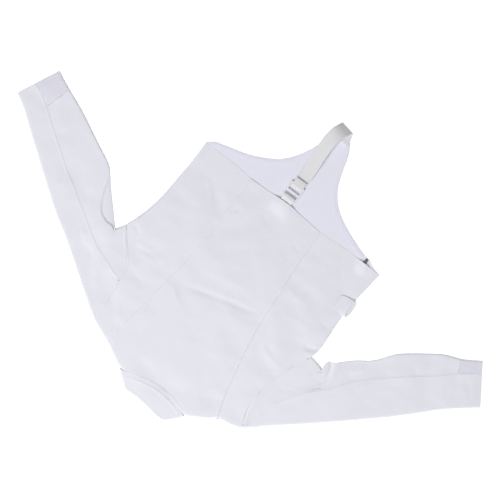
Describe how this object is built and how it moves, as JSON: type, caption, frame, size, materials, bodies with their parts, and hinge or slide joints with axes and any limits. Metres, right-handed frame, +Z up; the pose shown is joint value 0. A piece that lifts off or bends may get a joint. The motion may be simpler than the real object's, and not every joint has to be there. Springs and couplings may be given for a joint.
{
  "type": "fencing jacket",
  "caption": "White fencing jacket laid flat with its back up, with a stand collar, two-piece sleeves with rib cuffs, a crotch tongue and an elastic strap with a slide.",
  "frame": {"origin": "middle of the back hem, on the surface that the jacket lies on", "axes": "+X to the wearer's right, +Y from the hem to the collar, +Z up from the surface"},
  "size_m": [1.286, 0.7964, 0.0235],
  "materials": {
    "jacket_cloth": "matt woven cloth",
    "front_cloth": "matt lining side of the front",
    "rib_knit": "fine rib knit",
    "elastic": "woven elastic with a slight sheen",
    "slide_plastic": "white moulded plastic",
    "slider_metal": "dull grey metal"
  },
  "bodies": {
    "root": {"back_centre": "jacket_cloth", "back_side_left": "jacket_cloth", "back_side_right": "jacket_cloth", "collar_back": "jacket_cloth", "collar_front": "jacket_cloth", "front_main": "front_cloth", "front_zip_side": "front_cloth", "zip": "front_cloth", "zip_slider": "slider_metal", "sleeve_right_outer": "jacket_cloth", "sleeve_right_inner": "jacket_cloth", "sleeve_left_outer": "jacket_cloth", "sleeve_left_inner": "jacket_cloth", "cuff_rib_right": "rib_knit", "cuff_rib_left": "rib_knit", "crotch_strap": "elastic", "strap_tab": "elastic", "strap_slide": "slide_plastic", "side_loop": "jacket_cloth"}
  },
  "joints": []
}
